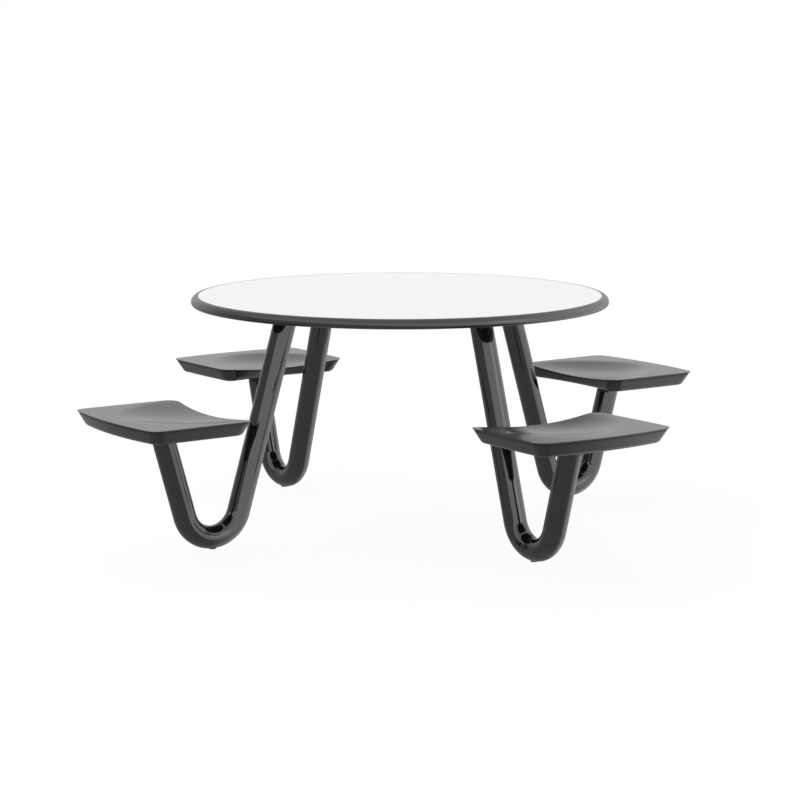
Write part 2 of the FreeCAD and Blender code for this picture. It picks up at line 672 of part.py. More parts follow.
def retaining_screws():
    shank = "Sizes.retainer_diameter / 2"
    head = "Sizes.retainer_head / 2"
    seat = "Layout.spindle_top + Sizes.washer_thickness"
    top = "%s + Sizes.retainer_head_height" % seat
    foot = "Layout.spindle_top - Sizes.retainer_length"
    turned_at_every_leg("retaining_screws", [
        (shank, foot), (shank, seat), (head, seat), (head, top), ("0", top), ("0", foot)])


def return_spring(name):
    """Torsion spring of square wire round the spindle, between the two bushes of the housing."""
    body = new_body(name)
    section = new_sketch(body, "Wire", "XZ_Plane", x="Layout.pivot_x")
    inside = "Sizes.spindle_diameter / 2 + Sizes.spring_gap"
    low = "Layout.housing_bottom + Sizes.bush_length + Sizes.end_play"
    rectangle(section, inside, inside + " + Sizes.spring_wire", low, low + " + Sizes.spring_wire")
    doc.recompute()
    coil = body.newObject("PartDesign::AdditiveHelix", "Coil")
    coil.Profile = section
    coil.ReferenceAxis = (section, ["V_Axis"])
    coil.Mode = 1
    coil.setExpression("Pitch", "(Layout.housing_top - Layout.housing_bottom - 2 * Sizes.bush_length"
                                " - 2 * Sizes.end_play - Sizes.spring_wire) / Sizes.spring_turns")
    coil.setExpression("Turns", "Sizes.spring_turns")
    return body


# ---------------------------------------------------------------- swivel, moving side

def swivel_housing(name):
    """Turned housing with a bore for the bushes and the lug that meets the stop rib."""
    bore = "Sizes.housing_bore / 2 + Sizes.glue_gap"
    body = new_body(name)
    turned(body, ring_points(bore, "Sizes.housing_diameter / 2", "Layout.housing_bottom", "Layout.housing_top"))
    arc_sector(body, "Sizes.housing_diameter / 2 - Sizes.merge_depth",
               "Sizes.cap_diameter / 2 - Sizes.lug_inset",
               "Layout.cap_top + Sizes.lug_lift", "Sizes.lug_height",
               "-Sizes.lug_half_angle * 1 deg", "Sizes.lug_half_angle * 1 deg")
    return body


def swivel_bushes(name):
    """Two bushes pressed into the housing, one at each end, that run on the spindle."""
    body = new_body(name)
    inner = "Sizes.spindle_diameter / 2 + Sizes.running_gap"
    outer = "Sizes.housing_bore / 2"
    for bottom in ("Layout.housing_bottom", "Layout.housing_top - Sizes.bush_length"):
        ring = new_sketch(body, "Ring", "XY_Plane", x="Layout.pivot_x", z=bottom)
        circle(ring, inner)
        circle(ring, outer)
        pad(body, ring, "Sizes.bush_length")
    return body


def seat_screw_circles(sketch, radius):
    four_circles(sketch, radius, "Sizes.bracket_bolt_spacing / 2", "Sizes.bracket_bolt_spacing / 2")


def seat_bracket(name):
    """Square steel plate welded round the housing, screwed up against the seat's underside."""
    body = new_body(name)
    outline = new_sketch(body, "Outline", "XY_Plane", x="Layout.pivot_x", z="Layout.bracket_bottom")
    half = "Sizes.bracket_side / 2"
    rectangle(outline, "-(%s)" % half, half, "-(%s)" % half, half)
    slab = pad(body, outline, "Sizes.bracket_thickness")
    fillet(body, slab, "Sizes.plate_corner", upright)
    holes = new_sketch(body, "Holes", "XY_Plane", x="Layout.pivot_x", z="Layout.bracket_bottom")
    circle(holes, "Sizes.housing_diameter / 2 + Sizes.glue_gap")
    seat_screw_circles(holes, "(Sizes.seat_screw_diameter + Sizes.bolt_room) / 2")
    cut_up(body, holes, "Sizes.bracket_thickness")
    return body


def seat_screws(name):
    """Four screws, from below through bracket and panel into the bosses of the seat."""
    body = new_body(name)
    heads = new_sketch(body, "Heads", "XY_Plane", x="Layout.pivot_x",
                       z="Layout.bracket_bottom - Sizes.seat_screw_head_height")
    seat_screw_circles(heads, "Sizes.seat_screw_head / 2")
    pad(body, heads, "Sizes.seat_screw_head_height")
    shanks = new_sketch(body, "Shanks", "XY_Plane", x="Layout.pivot_x", z="Layout.bracket_bottom")
    seat_screw_circles(shanks, "Sizes.seat_screw_diameter / 2")
    pad(body, shanks, "Sizes.seat_screw_length")
    return body


# ---------------------------------------------------------------- seats

def seat_outline(body, name, below_rim, corner):
    """The seat's plan outline at a depth below the rim: four corner arcs with bows tangent to them.
    The edge next to the table bows in, the outer edge and both sides bow out. The corner centres
    draw in with the depth; a smaller corner radius gives the same outline set in by the difference."""
    sketch = new_sketch(body, name, "XY_Plane", x="Layout.pivot_x", z="Sizes.seat_height - (%s)" % below_rim)
    share = "(%s) / Sizes.seat_thickness" % below_rim
    back_x = "Sizes.seat_back_reach - Sizes.seat_back_taper * %s" % share
    back_y = "Sizes.seat_back_half - Sizes.seat_side_taper * %s" % share
    front_x = "-(Sizes.seat_front_reach - Sizes.seat_front_taper * %s)" % share
    front_y = "Sizes.seat_front_half - Sizes.seat_side_taper * %s" % share
    centres = [(back_x, "-(%s)" % back_y), (back_x, back_y), (front_x, front_y), (front_x, "-(%s)" % front_y)]
    rises = [("Sizes.seat_back_bow", 1), ("Sizes.seat_side_bow", 1),
             ("Sizes.seat_front_hollow", -1), ("Sizes.seat_side_bow", 1)]
    radius = number(corner)
    points = [V(number(x), number(y), 0) for x, y in centres]
    bows = []
    for index, (rise, side) in enumerate(rises):
        a, b = points[index], points[(index + 1) % 4]
        (ax, ay), (bx, by) = centres[index], centres[(index + 1) % 4]
        chord = "sqrt((%s - (%s))^2 + (%s - (%s))^2)" % (ax, bx, ay, by)
        through_centres = "((%s)^2 / 4 + %s^2) / (2 * %s)" % (chord, rise, rise)
        sign = "+" if side > 0 else "-"
        bow_radius = "%s %s (%s)" % (through_centres, sign, corner)
        outward = V(b.y - a.y, a.x - b.x, 0).normalize()
        middle = (a + b) * 0.5 - outward * (side * (number(through_centres) - number(rise)))
        ends = [p + (p - middle).normalize() * (side * radius) for p in (a, b)]
        top = middle + outward * (side * number(bow_radius))
        bow = sketch.addGeometry(Part.Arc(ends[0], top, ends[1]))
        bind(sketch, Sketcher.Constraint("Radius", bow, number(bow_radius)), bow_radius)
        bows.append((bow, ends))

    def end_at(geometry, point):
        return min((1, 2), key=lambda end: sketch.getPoint(geometry, end).distanceToPoint(point))

    for index in range(4):
        centre = points[index]
        before, after = bows[index - 1], bows[index]
        a, b = before[1][1], after[1][0]
        tip = centre + ((a - centre) + (b - centre)).normalize() * radius
        arc = sketch.addGeometry(Part.Arc(a, tip, b))
        pin(sketch, arc, 3, *centres[index])
        bind(sketch, Sketcher.Constraint("Radius", arc, radius), corner)
        for bow, point in ((before[0], a), (after[0], b)):
            touch = Sketcher.Constraint("Tangent", bow, end_at(bow, point), arc, end_at(arc, point))
            sketch.addConstraint(touch)
    return sketch


def seat_loft(body, upper, lower, corner):
    """The tapered block between the outlines at two depths."""
    top = seat_outline(body, "Upper", upper, corner)
    bottom = seat_outline(body, "Lower", lower, corner)
    block = body.newObject("PartDesign::AdditiveLoft", "Loft")
    block.Profile = top
    block.Sections = [bottom]
    block.Ruled = True
    return block


def seat_block(name, upper, lower, corner, under_round):
    """A tapered block with a rounded lower edge."""
    body = new_body(name)
    block = seat_loft(body, upper, lower, corner)
    level = number("Sizes.seat_height - (%s)" % lower)

    def lies_low(edge):
        return all(abs(vertex.Point.z - level) < 1e-4 for vertex in edge.Vertexes)

    fillet(body, block, under_round, lies_low)
    return body


DISH_STATIONS = ("front", "low", "slope", "end", "past")


def dish_cutter(name, drop):
    """The hollow that a sitter sees: a loft through arcs across the leg's direction, lowered by drop."""
    body = new_body(name)
    sketches = []
    for station in DISH_STATIONS:
        place, depth, arc = ("Sizes.dish_%s_%s" % (station, value) for value in ("place", "depth", "arc"))
        sketch = new_sketch(body, "Across", "YZ_Plane", z="Layout.pivot_x + " + place)
        top = "Sizes.seat_height + Sizes.dish_clearance"
        rise = "(Sizes.dish_clearance + %s + %s)" % (depth, drop)
        half = "sqrt(2 * %s * %s - %s^2)" % (arc, rise, rise)
        draw(sketch, (half, top), [("-" + half, top), (half, top, arc, -1)])
        sketches.append(sketch)
    cutter = body.newObject("PartDesign::AdditiveLoft", "Dish")
    cutter.Profile = sketches[0]
    cutter.Sections = sketches[1:]
    return body


def rim_bead():
    """Bead that stands proud along the rim. It keeps its height below the flat rim and below the
    dish, so it follows the dish where that runs out over the edge next to the table."""
    body = new_body("BeadBlock")
    seat_loft(body, "0", "Sizes.seat_thickness", "Sizes.seat_corner + Sizes.rim_bead_depth")
    slab = doc.addObject("Part::Box", "RimSlab")
    slab.setExpression("Length", "4 * Sizes.seat_back_reach")
    slab.setExpression("Width", "4 * Sizes.seat_back_half")
    slab.setExpression("Height", "Sizes.rim_bead_height")
    slab.setExpression("Placement.Base.x", "Layout.pivot_x - 2 * Sizes.seat_back_reach")
    slab.setExpression("Placement.Base.y", "-2 * Sizes.seat_back_half")
    slab.setExpression("Placement.Base.z", "Sizes.seat_height - Sizes.rim_bead_height")
    near_rim = boolean("Part::MultiFuse", "NearRim",
                       Shapes=[slab, dish_cutter("DishAtBead", "Sizes.rim_bead_height")])
    return boolean("Part::MultiCommon", "RimBead", Shapes=[body, near_rim])


def seat_ribs():
    """Ribs both ways and drilled screw bosses, which stay standing inside the moulding, down to the
    panel."""
    pieces = []
    tall = "Sizes.seat_height - Layout.pan_top"
    for step in (-1.5, -0.5, 0.5, 1.5):
        for long_way, short_way, along, across, middle in (
                ("Length", "Width", "x", "y", ("Layout.pivot_x", "0")),
                ("Width", "Length", "y", "x", ("0", "Layout.pivot_x"))):
            rib = doc.addObject("Part::Box", "Rib")
            rib.setExpression(long_way, "2 * Sizes.seat_back_half")
            rib.setExpression(short_way, "Sizes.rib_thickness")
            rib.setExpression("Height", tall)
            rib.setExpression("Placement.Base." + along, "%s - Sizes.seat_back_half" % middle[0])
            rib.setExpression("Placement.Base." + across,
                              "%s + %g * Sizes.rib_spacing - Sizes.rib_thickness / 2" % (middle[1], step))
            rib.setExpression("Placement.Base.z", "Layout.pan_top")
            pieces.append(rib)
    drilled = ("Sizes.seat_screw_length - Sizes.bracket_thickness - Sizes.pan_thickness"
               " + Sizes.drill_spare")
    for sign_x in (1, -1):
        for sign_y in (1, -1):
            x = "Layout.pivot_x + %d * Sizes.bracket_bolt_spacing / 2" % sign_x
            y = "%d * Sizes.bracket_bolt_spacing / 2" % sign_y
            boss = upright_cylinder("Boss", "Sizes.boss_diameter / 2", "Layout.pan_top", tall, x, y)
            hole = upright_cylinder("Drill", "Sizes.seat_screw_diameter / 2 + Sizes.glue_gap",
                                    "Layout.pan_top", drilled, x, y)
            pieces.append(boolean("Part::Cut", "DrilledBoss", Base=boss, Tool=hole))
    return boolean("Part::MultiFuse", "RibsAndBosses", Shapes=pieces)


def seat_shell(name):
    """Hollow seat moulding: tapered sides, rounded lower edge, a bead along the rim, dished top that
    runs out over the edge next to the table, ribs and bosses inside, and a lip round its open
    underside."""
    wall = "Sizes.seat_wall"
    block = seat_block("SeatBlock", "0", "Sizes.seat_thickness", "Sizes.seat_corner", "Sizes.seat_under_round")
    beaded = boolean("Part::MultiFuse", "Beaded", Shapes=[block, rim_bead()])
    dished = boolean("Part::Cut", "Dished", Base=beaded, Tool=dish_cutter("DishAbove", "0"))
    hollow = seat_block("SeatHollow", wall, "Sizes.seat_thickness - " + wall,
                        "Sizes.seat_corner - " + wall, "Sizes.seat_under_round - " + wall)
    mouth = seat_outline(hollow, "Mouth", "Sizes.seat_thickness", "Sizes.seat_corner - Sizes.seat_lip")
    pad(hollow, mouth, "2 * " + wall)
    stays = boolean("Part::MultiFuse", "StaysInside", Shapes=[dish_cutter("DishBelow", wall), seat_ribs()])
    core = boolean("Part::Cut", "Core", Base=hollow, Tool=stays)
    shell = boolean("Part::Cut", "Shell", Base=dished, Tool=core)
    return shell


def seat_pan(name):
    """Panel in the mouth of the moulding, held up against ribs and bosses by the bracket."""
    body = new_body(name)
    outline = seat_outline(body, "Outline", "Sizes.seat_thickness",
                           "Sizes.seat_corner - Sizes.seat_lip - Sizes.pan_gap")
    pad(body, outline, "Sizes.pan_thickness")
    holes = new_sketch(body, "Holes", "XY_Plane", x="Layout.pivot_x", z="Layout.seat_underside")
    circle(holes, "Sizes.housing_diameter / 2 + Sizes.pan_gap")
    seat_screw_circles(holes, "(Sizes.seat_screw_diameter + Sizes.bolt_room) / 2")
    cut_up(body, holes, "Sizes.pan_thickness")
    return body


# ---------------------------------------------------------------- the whole model

OF_EACH_LEG = (leg_flange, leg_tube, arm_cap, spindle, return_spring, swivel_housing, swivel_bushes,
               seat_bracket, seat_screws, seat_shell, seat_pan)


def build():
    laminate_top()
    core_board()
    backer_sheet()
    edge_moulding()
    cross_beams()
    frame_plates()
    top_bolts()
    threaded_inserts()
    floor_glides()
    thrust_washers()
    retaining_washers()
    retaining_screws()
    for make in OF_EACH_LEG:
        kind = make.__name__
        first = register(make(kind + "_1"), kind + "_1")
        for leg in (2, 3, 4):
            clone(first, "%s_%d" % (kind, leg), LEG_TURNS[leg])
    doc.recompute()


def check():
    """Stops on any object that failed to recompute and on any sub-part without a sound shape."""
    for obj in doc.Objects:
        if "Invalid" in obj.State or "Error" in obj.State:
            raise RuntimeError("%s (%s) failed: %s" % (obj.Name, obj.Label, obj.State))
    for name, obj in nodes.items():
        if obj.Shape.isNull() or not obj.Shape.isValid() or not obj.Shape.Solids:
            raise RuntimeError("%s has no sound shape" % name)


def export():
    os.makedirs("parts", exist_ok=True)
    for name, obj in nodes.items():
        obj.Shape.exportStep("parts/%s.step" % name)
        print("%-24s %2d solid(s) %12.1f mm3" % (name, len(obj.Shape.Solids), obj.Shape.Volume))


build()
check()
export()
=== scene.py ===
# Round dining table with four swivel seats on bent tube legs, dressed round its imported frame.
# Metres, +Z up. Leg 1 points along +X, leg 2 along +Y, leg 3 along -X and leg 4 along -Y.
# Everything of a leg is worked out along +X and turned about Z to its own place.

import math

import bpy
import numpy as np
from bpy.props import FloatProperty, FloatVectorProperty, PointerProperty
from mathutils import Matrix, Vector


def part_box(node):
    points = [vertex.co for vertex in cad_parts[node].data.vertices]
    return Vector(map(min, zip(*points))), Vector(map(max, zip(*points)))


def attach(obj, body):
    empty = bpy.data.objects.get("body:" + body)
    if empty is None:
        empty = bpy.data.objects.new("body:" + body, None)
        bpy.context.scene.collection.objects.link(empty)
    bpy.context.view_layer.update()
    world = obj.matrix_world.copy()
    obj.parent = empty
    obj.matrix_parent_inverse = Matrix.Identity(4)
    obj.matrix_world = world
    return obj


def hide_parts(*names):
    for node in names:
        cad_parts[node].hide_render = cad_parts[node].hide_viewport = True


bl_info = {
    "name": "Table with swivel seats",
    "version": (1, 0, 0),
    "blender": (4, 5, 0),
    "location": "3D View > Sidebar > Swivel table",
    "description": "Makes the top, legs, seats and finishes of a table with swivel seats",
    "category": "Add Mesh",
}

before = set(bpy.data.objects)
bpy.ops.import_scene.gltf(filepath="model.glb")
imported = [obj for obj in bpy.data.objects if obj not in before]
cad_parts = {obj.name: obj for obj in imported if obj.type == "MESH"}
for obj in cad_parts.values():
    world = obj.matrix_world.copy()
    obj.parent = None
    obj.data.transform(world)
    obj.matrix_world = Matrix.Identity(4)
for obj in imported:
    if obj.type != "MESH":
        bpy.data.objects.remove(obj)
LEGS = (1, 2, 3, 4)
MM = 0.001


# ---------------------------------------------------------------- sizes and colours

def length(name, description, millimetres):
    return FloatProperty(name=name, description=description, default=millimetres * MM,
                         unit="LENGTH", subtype="DISTANCE")


def angle(name, description, degrees):
    return FloatProperty(name=name, description=description, default=math.radians(degrees),
                         unit="ROTATION", subtype="ANGLE")


def srgb(code):
    """Linear colour of an sRGB hex code such as "6e6e70"."""
    values = np.array([int(code[i:i + 2], 16) for i in (0, 2, 4)]) / 255.0
    linear = np.where(values <= 0.04045, values / 12.92, ((values + 0.055) / 1.055) ** 2.4)
    return tuple(float(v) for v in linear)


def colour(name, description, code):
    return FloatVectorProperty(name=name, description=description, default=srgb(code),
                               subtype="COLOR", size=3, min=0.0, max=1.0)


TOP_LOW, TOP_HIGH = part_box("edge_moulding")


class TopSizes(bpy.types.PropertyGroup):
    radius: length("Radius", "Round top, over its edge band", TOP_HIGH.x / MM)
    height: length("Height", "Floor to the table surface", TOP_HIGH.z / MM)
    thickness: length("Thickness", "Whole top", (TOP_HIGH.z - TOP_LOW.z) / MM)
    band: length("Edge band", "Width of the edge band, seen from above", 24.0)
    upper_round: length("Upper round", "Round over the top of the edge band", 20.0)
    lower_round: length("Lower round", "Round under the edge band", 9.5)
    sheet: length("Laminate", "Thickness of the laminate sheet", 1.2)
    laminate_colour: colour("Laminate", "Decor sheet", "f2f2f1")
    band_colour: colour("Edge band", "Extruded band", "1e1e1f")


class LegSizes(bpy.types.PropertyGroup):
    tube: length("Tube", "Outside diameter of the leg tube", 73.0)
    wall: length("Wall", "Wall of the leg tube", 3.0)
    bend: length("Bend", "Centreline radius of the bend at the floor", 102.0)
    foot: length("Foot", "Table axis to the lowest point of the bend", 725.0)
    drop: length("Glide", "How far the floor glide stands proud of the tube", 1.5)
    table_lean: angle("Long arm", "Lean of the long arm towards the table", 16.9)
    seat_lean: angle("Short arm", "Lean of the short arm away from the table", 15.8)
    bead: length("Weld", "Leg of the weld between tube and flange", 5.0)
    paint_colour: colour("Powder coat", "Legs and frame", "1b1b1c")


class SeatSizes(bpy.types.PropertyGroup):
    height: length("Height", "Floor to the seat's flat rim", 444.5)
    thickness: length("Thickness", "Rim to underside", 47.0)
    corner: length("Corner", "Corner radius in plan", 36.5)
    front_reach: length("Front reach", "Pivot to the corner centres next to the table", 142.5)
    back_reach: length("Back reach", "Pivot to the outer corner centres", 143.0)
    front_half: length("Front half", "Middle to a corner centre next to the table", 216.0)
    back_half: length("Back half", "Middle to an outer corner centre", 219.5)
    front_hollow: length("Front hollow", "Rise of the inward bow next to the table", 15.5)
    back_bow: length("Back bow", "Rise of the outer edge's bow", 17.5)
    side_bow: length("Side bow", "Rise of each side's bow", 1.5)
    side_taper: length("Side taper", "How far both sides draw in, top to bottom", 26.0)
    back_taper: length("Back taper", "How far the outer edge draws in", 19.0)
    front_taper: length("Front taper", "How far the edge next to the table draws in", 15.5)
    under_round: length("Lower round", "Round along the lower edge", 18.0)
    edge: length("Edge", "Small round along the rim", 1.0)
    bead_height: length("Bead", "Height of the bead along the rim", 3.2)
    bead_depth: length("Bead depth", "How far the bead stands proud of the sides", 1.0)
    groove: length("Groove", "Depth of the shadow groove under the bead", 1.8)
    wall: length("Wall", "Wall of the moulding", 5.0)
    lip: length("Lip", "In-turned lip round the underside", 18.0)
    softness: length("Softness", "How softly the dish runs out into the rim", 1.6)
    seat_colour: colour("Seat", "Moulded seat", "3b3b3c")


class StageSizes(bpy.types.PropertyGroup):
    distance: length("Distance", "Table axis to the camera", 7685.0)
    height: length("Height", "Camera above the floor", 1649.2)
    bearing: angle("Bearing", "Camera's way round the table", -34.945)
    pitch: angle("Pitch", "Camera's look down", 9.163)
    lens: FloatProperty(name="Lens", description="Focal length in millimetres", default=105.64)
    floor_colour: colour("Floor", "Pale floor", "ffffff")


# ---------------------------------------------------------------- mesh helpers

SHARP_EDGE = math.radians(35.0)


def turned(points, leg):
    """Points turned about Z by a quarter turn for each leg after the first."""
    turn = (leg - 1) * math.pi / 2
    c, s = round(math.cos(turn)), round(math.sin(turn))
    x, y, z = points[..., 0], points[..., 1], points[..., 2]
    return np.stack([c * x - s * y, s * x + c * y, z], axis=-1)


def surface(name, points, body, material, ring=False, start=None, end=None):
    """A mesh from a grid of points (rows, columns, 3) whose columns close round. With ring the
    rows close too; start and end are poles that close the first and the last row. Faces point
    outwards where columns go round anticlockwise and the rows of the outer side go up."""
    rows, columns = points.shape[:2]
    number = np.arange(rows * columns).reshape(rows, columns)
    if ring:
        number = np.vstack([number, number[:1]])
    beside = np.roll(number, -1, axis=1)
    quads = np.stack([number[:-1], beside[:-1], beside[1:], number[1:]], axis=-1)
    faces = quads.reshape(-1, 4).tolist()
    vertices = points.reshape(-1, 3)
    for pole, one, other in ((start, beside[0], number[0]), (end, number[-1], beside[-1])):
        if pole is not None:
            tip = np.full(columns, len(vertices))
            vertices = np.vstack([vertices, [pole]])
            faces += np.stack([tip, one, other], axis=-1).tolist()
    mesh = bpy.data.meshes.new(name)
    mesh.from_pydata(vertices.tolist(), [], faces)
    if mesh.validate():
        raise RuntimeError("%s has faces that cross or repeat" % name)
    mesh.shade_smooth()
    mesh.set_sharp_from_angle(angle=SHARP_EDGE)
    mesh.materials.append(material)
    piece = bpy.data.objects.new(name, mesh)
    bpy.context.scene.collection.objects.link(piece)
    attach(piece, body)
    return piece


def arc(centre, radius, start, end, steps):
    """Points (x, y) on an arc, centre + radius (cos a, sin a), a from start to end in degrees."""
    a = np.radians(np.linspace(start, end, steps + 1))
    return np.stack([centre[0] + radius * np.cos(a), centre[1] + radius * np.sin(a)], axis=-1)


def revolved(section, steps):
    """Section points (r, z) carried round the Z axis: (r cos a, r sin a, z), with the rows along
    the section."""
    a = np.linspace(0.0, 2 * math.pi, steps, endpoint=False)
    r, z = section[:, :1], section[:, 1:]
    return np.stack([r * np.cos(a), r * np.sin(a), z + 0 * a], axis=-1)


# ---------------------------------------------------------------- material helpers

def add(tree, kind, settings=None, links=None):
    """Adds a node. settings are its properties, and its sockets by name or number; links are its
    input sockets by name or number and the output sockets that feed them."""
    node = tree.nodes.new(kind)
    for key, value in (settings or {}).items():
        if isinstance(key, int) or key in node.inputs:
            node.inputs[key].default_value = value
        else:
            setattr(node, key, value)
    for key, output in (links or {}).items():
        tree.links.new(output, node.inputs[key])
    return node


def new_material(name, base, shader):
    """A material with a Principled shader, whose values are set on its sockets. Gives the
    material, its node tree, the shader and the Object coordinates."""
    material = bpy.data.materials.new(name)
    material.use_nodes = True
    material.diffuse_color = (*base, 1.0)
    tree = material.node_tree
    tree.nodes.clear()
    principled = add(tree, "ShaderNodeBsdfPrincipled", shader)
    add(tree, "ShaderNodeOutputMaterial", None, {"Surface": principled.outputs["BSDF"]})
    place = add(tree, "ShaderNodeTexCoord").outputs["Object"]
    return material, tree, principled, place


def shade_pair(base, spread):
    """A darker and a lighter colour about the given one, as RGBA."""
    return [(*[min(1.0, c * k) for c in base], 1.0) for k in (1.0 - spread, 1.0 + spread)]


def dress(tree, principled, shades, share, polish, roughness, relief=None, height=0.0):
    """Links a finish to its shader: a colour between two shades by the output share, a roughness
    between two values by the output polish and, where there is a relief, a bump as high as
    height (millimetres)."""
    tint = add(tree, "ShaderNodeMix", {"data_type": "RGBA", 6: shades[0], 7: shades[1]},
               {0: share})
    gloss = add(tree, "ShaderNodeMapRange", {"To Min": roughness[0], "To Max": roughness[1]},
                {"Value": polish})
    tree.links.new(tint.outputs[2], principled.inputs["Base Color"])
    tree.links.new(gloss.outputs["Result"], principled.inputs["Roughness"])
    if relief is not None:
        bump = add(tree, "ShaderNodeBump", {"Strength": 1.0, "Distance": height * MM},
                   {"Height": relief})
        tree.links.new(bump.outputs["Normal"], principled.inputs["Normal"])


def mottled(name, base, shader, spread, grain, roughness, texture, height):
    """A finish that varies softly: clouds of a grain move the base colour by the share spread and
    the roughness between two values; a finer texture lifts the surface by a height. Grain,
    texture and height are in millimetres."""
    material, tree, principled, place = new_material(name, base, shader)
    clouds = add(tree, "ShaderNodeTexNoise",
                 {"Scale": 1.0 / (grain * MM), "Detail": 4.0, "Roughness": 0.6},
                 {"Vector": place}).outputs["Fac"]
    fine = add(tree, "ShaderNodeTexNoise", {"Scale": 1.0 / (texture * MM), "Detail": 2.0},
               {"Vector": place}).outputs["Fac"]
    dress(tree, principled, shade_pair(base, spread), clouds, clouds, roughness, fine, height)
    return material


# ---------------------------------------------------------------- finishes

def laminate(value):
    # High-pressure laminate, melamine-faced and pressed against a satin plate: a near-white sheet
    # with a pearly 1 mm texture that only breaks up the gloss.
    return mottled("pressed_melamine_laminate", value, {"IOR": 1.5}, spread=0.012, grain=4.0,
                   roughness=(0.34, 0.42), texture=1.0, height=0.01)


def edge_band(value):
    # Extruded PVC band with a clear lacquer on it, for which IOR 1.7 stands: satin dark grey,
    # with faint draw lines that run round the rim.
    material, tree, principled, place = new_material("extruded_pvc_band", value, {"IOR": 1.7})
    split = add(tree, "ShaderNodeSeparateXYZ", None, {"Vector": place})
    level = add(tree, "ShaderNodeCombineXYZ", None,
                {"X": split.outputs["X"], "Y": split.outputs["Y"]})
    radius = add(tree, "ShaderNodeVectorMath", {"operation": "LENGTH"},
                 {0: level.outputs["Vector"]})
    # The draw lines stand 0.8 mm apart, by height and distance from the axis.
    across = add(tree, "ShaderNodeMath", {"operation": "SUBTRACT"},
                 {0: radius.outputs["Value"], 1: split.outputs["Z"]})
    lines = add(tree, "ShaderNodeTexNoise",
                {"noise_dimensions": "1D", "Scale": 1.0 / (0.8 * MM), "Detail": 3.0},
                {"W": across.outputs["Value"]}).outputs["Fac"]
    clouds = add(tree, "ShaderNodeTexNoise", {"Scale": 1.0 / (30.0 * MM), "Detail": 3.0},
                 {"Vector": place}).outputs["Fac"]
    dress(tree, principled, shade_pair(value, 0.06), clouds, lines, (0.22, 0.28), lines, 0.01)
    return material


def powder_coat(value):
    # Black gloss powder coat, sprayed and baked on the tube under a second clear coat, which
    # doubles its mirroring: IOR 1.7 stands for both. A faint orange peel has waves 3 mm across.
    return mottled("baked_gloss_powder_coat", value, {"IOR": 1.7}, spread=0.05, grain=50.0,
                   roughness=(0.04, 0.07), texture=3.0, height=0.004)


def frame_paint(value):
    # The same powder coat in the shade under the top, where nobody polishes it: satin.
    return mottled("baked_satin_powder_coat", value, {"IOR": 1.5}, spread=0.08, grain=30.0,
                   roughness=(0.28, 0.38), texture=2.0, height=0.02)


def seat_plastic(value):
    # Injection-moulded polypropylene out of a spark-eroded mould: even dark grey with a dull
    # sheen. The 0.4 mm grain is drawn 0.9 mm coarse, so that it shows.
    return mottled("moulded_polypropylene", value, {"IOR": 1.5}, spread=0.03, grain=12.0,
                   roughness=(0.16, 0.21), texture=0.9, height=0.03)


def panel_plastic():
    # Vacuum-formed ABS sheet, black, with a leather-like haircell of 2 mm.
    return mottled("formed_abs_sheet", srgb("1b1b1c"), {"IOR": 1.53}, spread=0.08, grain=20.0,
                   roughness=(0.45, 0.6), texture=2.0, height=0.1)


def zinc():
    # Steel with bright zinc plating: silver, with soft cloudy patches from the bath.
    return mottled("zinc_plated_steel", srgb("c3c6ca"), {"Metallic": 1.0}, spread=0.06, grain=6.0,
                   roughness=(0.22, 0.36), texture=0.6, height=0.01)


def turned_steel():
    # Steel turned on a lathe and greased: fine tool marks, darker where the grease lies.
    return mottled("turned_greased_steel", srgb("a9a9ab"), {"Metallic": 1.0}, spread=0.1,
                   grain=4.0, roughness=(0.25, 0.4), texture=0.5, height=0.02)


def spring_wire():
    # Oil-tempered spring wire: dark grey, half gloss.
    return mottled("oil_tempered_wire", srgb("5d5d60"), {"Metallic": 1.0}, spread=0.12, grain=5.0,
                   roughness=(0.3, 0.45), texture=1.0, height=0.01)


def nylon():
    # Polyamide turned from rod, dyed black: slightly waxy.
    return mottled("turned_black_nylon", srgb("19191b"), {"IOR": 1.53}, spread=0.06, grain=6.0,
                   roughness=(0.38, 0.48), texture=1.0, height=0.01)


def backing_sheet():
    # Phenolic balancing sheet, pressed: dark brown, low gloss.
    return mottled("pressed_balancing_sheet", srgb("33302d"), {"IOR": 1.5}, spread=0.08,
                   grain=10.0, roughness=(0.42, 0.55), texture=1.0, height=0.01)


def particle_board():
    # Pressed wood chips of about 3 mm in resin, each with its own tone.
    material, tree, principled, place = new_material("pressed_particle_board", srgb("b49468"),
                                                     {"IOR": 1.5})
    chips = add(tree, "ShaderNodeTexVoronoi", {"Scale": 1.0 / (3.0 * MM)}, {"Vector": place})
    tone = add(tree, "ShaderNodeSeparateColor", None, {"Color": chips.outputs["Color"]})
    dress(tree, principled, [(*srgb(code), 1.0) for code in ("8f6f47", "c9ab7d")],
          tone.outputs["Red"], tone.outputs["Green"], (0.7, 0.9))
    return material


def finish(material, *nodes):
    """Gives CAD nodes a material on all their slots."""
    for name in nodes:
        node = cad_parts[name]
        for slot in node.material_slots:
            slot.material = material


def of_each_leg(kind):
    return ["%s_%d" % (kind, leg) for leg in LEGS]


# ---------------------------------------------------------------- the round top

ROUND_STEPS = 240


def band_section(sizes):
    """Section (r, z) of the edge band, anticlockwise: flat underside, small lower round, upright
    face, big upper round, flat top, inner face. The inner corners are eased."""
    r, z = sizes.radius, sizes.height
    low = z - sizes.thickness
    inner = r - sizes.band
    ease = 0.4 * MM
    return np.vstack([
        [[inner, low + ease]],
        [[inner + ease, low]],
        arc((r - sizes.lower_round, low + sizes.lower_round), sizes.lower_round, -90, 0, 12),
        arc((r - sizes.upper_round, z - sizes.upper_round), sizes.upper_round, 0, 90, 24),
        arc((inner + ease, z - ease), ease, 90, 180, 3),
    ])


